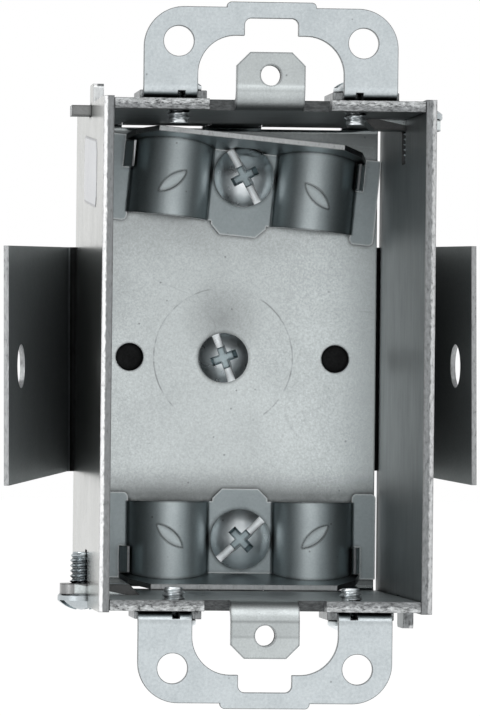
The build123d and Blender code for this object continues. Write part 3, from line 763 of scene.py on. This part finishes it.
SCREW_SIDES = 48
CROWN_ROWS = 16
ROWS_PER_TURN = 10
PITCH = 0.794 * MM
THREAD_SHARE = 0.55
THREAD_SLOPE = 1.15
CLAMP_SCREW = {"thread": 4.83 * MM, "head": 9.4 * MM, "height": 3.0 * MM}
LARGE_SCREW = {"thread": 4.17 * MM, "head": 7.8 * MM, "height": 2.5 * MM}
SMALL_SCREW = {"thread": 3.51 * MM, "head": 6.8 * MM, "height": 2.0 * MM}
GANG_SCREW_LENGTH = 6.4 * MM
EAR_SCREW_LENGTH = 4.69 * MM
RIM_SHARE = 0.4
RIM_CHAMFER = 0.1
CUT_ABOVE = 0.5 * MM
SLOT_SPAN = 1.2
SLOT_WIDTH = 1.35 * MM
SLOT_SHARE = 0.62
SLOT_FLOOR = 0.95
CROSS_SPAN = 4.9 * MM
CROSS_WIDTH = 1.55 * MM
CROSS_SHARE = 0.76
CROSS_FLOOR = 0.66
SHARP_ANGLE = math.radians(38)
UPPER_SLOT_TURN = math.radians(118)
LOWER_SLOT_TURN = math.radians(43)
GROUND_SLOT_TURN = math.radians(110)
GANG_SLOT_TURN = math.radians(30)
EAR_SLOT_TURN = math.radians(20)
GANG_CORNERS = ((1, 1), (-1, -1))
EAR_CORNERS = ((1, 1), (1, -1), (-1, 1), (-1, -1))


def head_profile(screw):
    """Radius and height of points on a domed head, from the crown's middle to under the rim."""
    radius = screw["head"] / 2
    height = screw["height"]
    crown = (1 - RIM_SHARE) * height
    sphere = (radius * radius + crown * crown) / (2 * crown)
    points = []
    for step in range(1, CROWN_ROWS + 1):
        turn = math.asin(radius / sphere) * step / CROWN_ROWS
        points.append((sphere * math.sin(turn), height - sphere * (1 - math.cos(turn))))
    points.append((radius, RIM_CHAMFER * height))
    points.append((radius - RIM_CHAMFER * height, 0.0))
    return points


def thread_ring(screw, length, down):
    """Radius and height of points round the shank, some way under the head; the thread is a ridge."""
    major = screw["thread"] / 2
    depth = THREAD_SHARE * PITCH
    fade = min(1.0, down / PITCH, (length - down) / PITCH)
    ring = []
    for side in range(SCREW_SIDES):
        phase = (down / PITCH + side / SCREW_SIDES) % 1.0
        ridge = max(0.0, 1 - abs(2 * phase - 1) * THREAD_SLOPE)
        ring.append((major - depth + depth * ridge * fade, -down))
    return ring


def screw_mesh(screw, length):
    """Closed mesh of a screw along Z with its head's seat at zero."""
    shape = bmesh.new()
    rows = [[point] * SCREW_SIDES for point in head_profile(screw)]
    count = round(length / PITCH * ROWS_PER_TURN)
    rows += [thread_ring(screw, length, length * step / count) for step in range(count + 1)]
    rings = []
    for row in rows:
        ring = []
        for side, (radius, height) in enumerate(row):
            turn = 2 * math.pi * side / SCREW_SIDES
            ring.append(shape.verts.new((radius * math.cos(turn), radius * math.sin(turn), height)))
        rings.append(ring)
    for upper, lower in zip(rings, rings[1:]):
        for side in range(SCREW_SIDES):
            following = (side + 1) % SCREW_SIDES
            shape.faces.new((upper[side], lower[side], lower[following], upper[following]))
    for ring, height in ((rings[0], screw["height"]), (rings[-1], -length)):
        middle = shape.verts.new((0, 0, height))
        for side in range(SCREW_SIDES):
            shape.faces.new((ring[side], ring[(side + 1) % SCREW_SIDES], middle))
    bmesh.ops.recalc_face_normals(shape, faces=shape.faces)
    mesh = bpy.data.meshes.new("screw")
    shape.to_mesh(mesh)
    shape.free()
    return mesh


def tapered_bar(top, floor, span, width, floor_share, turn=0.0):
    """Mesh of a bar that narrows from its top down to its floor, turned about Z."""
    shape = bmesh.new()
    corners = []
    for height, share in ((floor, floor_share), (top, 1.0)):
        for x, y in ((-1, -1), (1, -1), (1, 1), (-1, 1)):
            corners.append(shape.verts.new((x * share * span / 2, y * share * width / 2, height)))
    low, high = corners[:4], corners[4:]
    shape.faces.new(low[::-1])
    shape.faces.new(high)
    for side in range(4):
        following = (side + 1) % 4
        shape.faces.new((low[side], low[following], high[following], high[side]))
    mesh = bpy.data.meshes.new("bar")
    shape.to_mesh(mesh)
    shape.free()
    mesh.transform(Matrix.Rotation(turn, 4, "Z"))
    return mesh


def recess_bars(screw, finish):
    """Meshes to cut out of a head: the slot in the screw's own finish, then the two bars of the cross."""
    height = screw["height"]
    top = height + CUT_ABOVE
    slot_floor = (1 - SLOT_SHARE) * height
    slot = tapered_bar(top, slot_floor, SLOT_SPAN * screw["head"], SLOT_WIDTH, SLOT_FLOOR)
    slot.materials.append(finish)
    bars = [slot]
    cross_floor = (1 - CROSS_SHARE) * height
    for turn in (0, math.pi / 2):
        cross = tapered_bar(top, cross_floor, CROSS_SPAN, CROSS_WIDTH, CROSS_FLOOR, turn)
        cross.materials.append(recess_zinc)
        bars.append(cross)
    return bars


def cut_screw(screw, length, finish):
    """Screw mesh with its slot and its cross cut out."""
    blank = bpy.data.objects.new("blank", screw_mesh(screw, length))
    blank.data.materials.append(finish)
    bpy.context.scene.collection.objects.link(blank)
    helpers = [blank]
    for bar in recess_bars(screw, finish):
        cutter = bpy.data.objects.new("cutter", bar)
        bpy.context.scene.collection.objects.link(cutter)
        helpers.append(cutter)
        step = blank.modifiers.new("recess", "BOOLEAN")
        step.operation = "DIFFERENCE"
        step.solver = "EXACT"
        step.material_mode = "TRANSFER"
        step.object = cutter
    evaluated = blank.evaluated_get(bpy.context.evaluated_depsgraph_get())
    mesh = bpy.data.meshes.new_from_object(evaluated)
    for helper in helpers:
        bpy.data.objects.remove(helper)
    return mesh


def seat_matrix(seat, outwards, slot_turn):
    """Place of a screw: its head's seat, the way its head faces, and the turn of its slot."""
    facing = Vector(outwards).to_track_quat("Z", "Y").to_matrix().to_4x4()
    return Matrix.Translation(seat) @ facing @ Matrix.Rotation(slot_turn, 4, "Z")


def add_screws(node, body, screw, length, places, finish):
    """One piece with a screw at each place, standing for a node of screws."""
    cut = cut_screw(screw, length, finish)
    shape = bmesh.new()
    for matrix in places:
        copy = cut.copy()
        copy.transform(matrix)
        shape.from_mesh(copy)
    mesh = bpy.data.meshes.new(node + "_threaded")
    shape.to_mesh(mesh)
    shape.free()
    for material in cut.materials:
        mesh.materials.append(material)
    for face in mesh.polygons:
        face.use_smooth = True
    mesh.set_sharp_from_angle(angle=SHARP_ANGLE)
    piece = bpy.data.objects.new(node + "_threaded", mesh)
    bpy.context.scene.collection.objects.link(piece)
    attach(piece, body)
    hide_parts(node)


def add_back_screw(node, body, screw, slot_turn):
    """Screw in the back of the box, its head towards the opening."""
    low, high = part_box(node)
    seat = (low + high) / 2
    seat.y = low.y + screw["height"]
    add_screws(node, body, screw, high.y - seat.y, [seat_matrix(seat, (0, -1, 0), slot_turn)], screw_zinc)


def end_places(node, screw, slot_turn, corners):
    """Places of screws that stand on the end walls; corners lists the end and the side of each."""
    low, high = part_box(node)
    reach = high.x - screw["head"] / 2
    found = []
    for end, side in corners:
        seat = Vector((side * reach, (low.y + high.y) / 2, end * (high.z - screw["height"])))
        found.append(seat_matrix(seat, (0, 0, end), side * slot_turn))
    return found


add_back_screw("upper_clamp_screw", "upper_clamp_screw", CLAMP_SCREW, UPPER_SLOT_TURN)
add_back_screw("lower_clamp_screw", "lower_clamp_screw", CLAMP_SCREW, LOWER_SLOT_TURN)
add_back_screw("ground_screw", "box", LARGE_SCREW, GROUND_SLOT_TURN)
gang_places = end_places("gang_screws", LARGE_SCREW, GANG_SLOT_TURN, GANG_CORNERS)
# The gang screws take the darker copy, painted shade
add_screws("gang_screws", "box", LARGE_SCREW, GANG_SCREW_LENGTH, gang_places, screw_shaded_zinc)
ear_places = end_places("ear_screws", SMALL_SCREW, EAR_SLOT_TURN, EAR_CORNERS)
add_screws("ear_screws", "box", SMALL_SCREW, EAR_SCREW_LENGTH, ear_places, screw_zinc)


# Threaded collars that the punch leaves behind the holes of the device tabs

COLLAR_WALL = 0.75 * MM
COLLAR_LENGTH = 1.7 * MM
COLLAR_CHAMFER = 0.2 * MM
COLLAR_THREAD = 0.25 * PITCH
COLLAR_SIDES = 40
COLLAR_ROWS = 20


def collar_profile(bore):
    """Radius and depth of points round a collar's wall: down the threaded bore and back up the outside."""
    points = []
    for row in range(COLLAR_ROWS + 1):
        down = COLLAR_LENGTH * row / COLLAR_ROWS
        ridge = abs(2 * (down / PITCH % 1.0) - 1)
        points.append((bore + COLLAR_THREAD * ridge, down))
    outside = bore + COLLAR_WALL
    points.append((outside - COLLAR_CHAMFER, COLLAR_LENGTH))
    points.append((outside, COLLAR_LENGTH - COLLAR_CHAMFER))
    points.append((outside, 0.0))
    return points


def add_collars():
    """Collars behind both tabs, at the device screw holes."""
    device_holes = next(mount for mount in frame["record"]["mounts"] if mount["name"] == "device_screws")
    reach = device_holes["dims"]["spacing_y_mm"] / 2 * MM
    bore = device_holes["dims"]["hole_r_mm"] * MM
    shape = bmesh.new()
    for lift in (-reach, reach):
        rings = []
        for radius, down in collar_profile(bore):
            ring = []
            for side in range(COLLAR_SIDES):
                turn = 2 * math.pi * side / COLLAR_SIDES
                point = (radius * math.cos(turn), BOX_SHEET + down, lift + radius * math.sin(turn))
                ring.append(shape.verts.new(point))
            rings.append(ring)
        for near, far in zip(rings, rings[1:] + rings[:1]):
            for side in range(COLLAR_SIDES):
                following = (side + 1) % COLLAR_SIDES
                shape.faces.new((near[side], far[side], far[following], near[following]))
    bmesh.ops.recalc_face_normals(shape, faces=shape.faces)
    mesh = bpy.data.meshes.new("tab_collars")
    shape.to_mesh(mesh)
    shape.free()
    mesh.materials.append(sheet_zinc)
    mesh.materials.append(shade_black_steel)
    # The bores are near black, painted shade
    for face in mesh.polygons:
        axis = Vector((0, face.center.y, math.copysign(reach, face.center.z)))
        if face.normal.dot(face.center - axis) < 0:
            face.material_index = 1
    piece = bpy.data.objects.new("tab_collars", mesh)
    bpy.context.scene.collection.objects.link(piece)
    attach(piece, "box")


add_collars()


# Bare label on the outside of the left side

LABEL_LENGTH = 28.5 * MM
LABEL_HEIGHT = 10.1 * MM
LABEL_CORNER = 1.6 * MM
LABEL_THICKNESS = 0.08 * MM
LABEL_RIM_WIDTH = 0.3 * MM
LABEL_TILT = math.radians(3.6)
LABEL_DEPTH = 28.8 * MM
LABEL_LIFT = 28.05 * MM


def label_outline():
    """Corner points of the label, each corner cut off."""
    half_length = LABEL_LENGTH / 2
    half_height = LABEL_HEIGHT / 2
    outline = []
    for y, z in ((-1, -1), (1, -1), (1, 1), (-1, 1)):
        on_long = (y * (half_length - LABEL_CORNER), z * half_height)
        on_short = (y * half_length, z * (half_height - LABEL_CORNER))
        outline += [on_short, on_long] if y * z > 0 else [on_long, on_short]
    return outline


def add_label():
    """Thin paper label with cut corners, lying on the plate."""
    shape = bmesh.new()
    face = shape.faces.new([shape.verts.new((0, y, z)) for y, z in label_outline()])
    raised = bmesh.ops.extrude_face_region(shape, geom=[face])["geom"]
    lifted = [part for part in raised if isinstance(part, bmesh.types.BMVert)]
    bmesh.ops.translate(shape, verts=lifted, vec=(-LABEL_THICKNESS, 0, 0))
    faces = [part for part in raised if isinstance(part, bmesh.types.BMFace)]
    bmesh.ops.inset_region(shape, faces=faces, thickness=LABEL_RIM_WIDTH)
    # The rim and the sides take the painted shadow
    for part in shape.faces:
        part.material_index = 0 if part in faces else 1
    bmesh.ops.recalc_face_normals(shape, faces=shape.faces)
    mesh = bpy.data.meshes.new("side_label")
    shape.to_mesh(mesh)
    shape.free()
    plate_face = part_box("left_side")[0].x
    tilt = Matrix.Rotation(LABEL_TILT, 4, "X")
    mesh.transform(Matrix.Translation((plate_face, LABEL_DEPTH, LABEL_LIFT)) @ tilt)
    mesh.materials.append(label_paper())
    mesh.materials.append(rim_shadow_paper())
    piece = bpy.data.objects.new("side_label", mesh)
    bpy.context.scene.collection.objects.link(piece)
    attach(piece, "box")


add_label()


# Stage, light and camera

FLOOR_DROP = 60 * MM
FLOOR_RADIUS = 6.0
FLOOR_SIDES = 96
FLOOR_COLOUR = (0.4, 0.4, 0.4, 1)
FLOOR_GLOW = 0.80
WORLD_COLOUR = (1, 1, 1, 1)
WORLD_LIGHT = 0.8
CEILING_RANGE = (0.15, 0.9)
CEILING_TONE = 0.5
TOP_LIGHT = {"place_at": (-0.2, -0.7, 1.3), "width": 1.2, "height": 0.8, "watts": 5}
SIDE_LIGHT = {"place_at": (-1.1, -0.9, 0.5), "width": 0.8, "height": 1.0, "watts": 8}
CAMERA_PLACE = Vector((-0.0887, -0.9654, -0.0071))
CAMERA_AIM = Vector((0.08717, 0.99617, 0.00689))
CAMERA_ROLL = math.radians(0.61)
CAMERA_LENS = 328.0
CAMERA_NEAR = 0.05
SENSOR = 36.0


def seen_rays(tree):
    """One for camera, glossy and transmission rays, else zero."""
    path = tree.nodes.new("ShaderNodeLightPath")
    straight = calculate(tree, "MAXIMUM", path.outputs["Is Camera Ray"], path.outputs["Is Glossy Ray"])
    return calculate(tree, "MAXIMUM", straight, path.outputs["Is Transmission Ray"])


def floor_white():
    """Matt material that also glows where it is seen, so that it shows white and keeps a shadow."""
    material = bpy.data.materials.new("floor_white")
    material.use_nodes = True
    tree = material.node_tree
    tree.nodes.clear()
    output = tree.nodes.new("ShaderNodeOutputMaterial")
    matt = tree.nodes.new("ShaderNodeBsdfDiffuse")
    matt.inputs["Color"].default_value = FLOOR_COLOUR
    glow = tree.nodes.new("ShaderNodeEmission")
    tree.links.new(times(tree, seen_rays(tree), FLOOR_GLOW), glow.inputs["Strength"])
    both = tree.nodes.new("ShaderNodeAddShader")
    tree.links.new(matt.outputs["BSDF"], both.inputs[0])
    tree.links.new(glow.outputs["Emission"], both.inputs[1])
    tree.links.new(both.outputs["Shader"], output.inputs["Surface"])
    return material


def add_floor():
    """Plain pale floor below the box."""
    shape = bmesh.new()
    bmesh.ops.create_circle(shape, cap_ends=True, radius=FLOOR_RADIUS, segments=FLOOR_SIDES)
    mesh = bpy.data.meshes.new("floor")
    shape.to_mesh(mesh)
    shape.free()
    mesh.materials.append(floor_white())
    floor = bpy.data.objects.new("floor", mesh)
    floor.location.z = cad_box[0].z - FLOOR_DROP
    bpy.context.scene.collection.objects.link(floor)


def add_world():
    """White surroundings where they are seen, softer where they only light, and a greyer ceiling."""
    world = bpy.data.worlds.new("studio")
    bpy.context.scene.world = world
    world.use_nodes = True
    tree = world.node_tree
    tree.nodes.clear()
    output = tree.nodes.new("ShaderNodeOutputWorld")
    background = tree.nodes.new("ShaderNodeBackground")
    background.inputs["Color"].default_value = WORLD_COLOUR
    coordinates = tree.nodes.new("ShaderNodeTexCoord")
    parts = tree.nodes.new("ShaderNodeSeparateXYZ")
    tree.links.new(coordinates.outputs["Generated"], parts.inputs["Vector"])
    ceiling = remap(tree, parts.outputs["Z"], *CEILING_RANGE, 1.0, CEILING_TONE)
    level = remap(tree, seen_rays(tree), 0.0, 1.0, WORLD_LIGHT, 1.0)
    tree.links.new(times(tree, level, ceiling), background.inputs["Strength"])
    tree.links.new(background.outputs["Background"], output.inputs["Surface"])


def add_softbox(name, place_at, width, height, watts):
    """Rectangular soft light aimed at the middle of the box."""
    data = bpy.data.lights.new(name, "AREA")
    data.shape = "RECTANGLE"
    data.size = width
    data.size_y = height
    data.energy = watts
    light = bpy.data.objects.new(name, data)
    bpy.context.scene.collection.objects.link(light)
    light.location = place_at
    light.rotation_euler = (-Vector(place_at)).to_track_quat("-Z", "Y").to_euler()


def add_camera():
    """Camera in front of the opening, slightly to the left."""
    data = bpy.data.cameras.new("camera")
    data.lens = CAMERA_LENS
    data.sensor_width = SENSOR
    data.clip_start = CAMERA_NEAR
    camera = bpy.data.objects.new("camera", data)
    bpy.context.scene.collection.objects.link(camera)
    aim = CAMERA_AIM.to_track_quat("-Z", "Y").to_matrix().to_4x4()
    camera.matrix_world = Matrix.Translation(CAMERA_PLACE) @ aim @ Matrix.Rotation(CAMERA_ROLL, 4, "Z")
    bpy.context.scene.camera = camera


add_floor()
add_world()
add_softbox("top_light", **TOP_LIGHT)
add_softbox("side_light", **SIDE_LIGHT)
add_camera()
bpy.context.scene.view_settings.view_transform = "Standard"
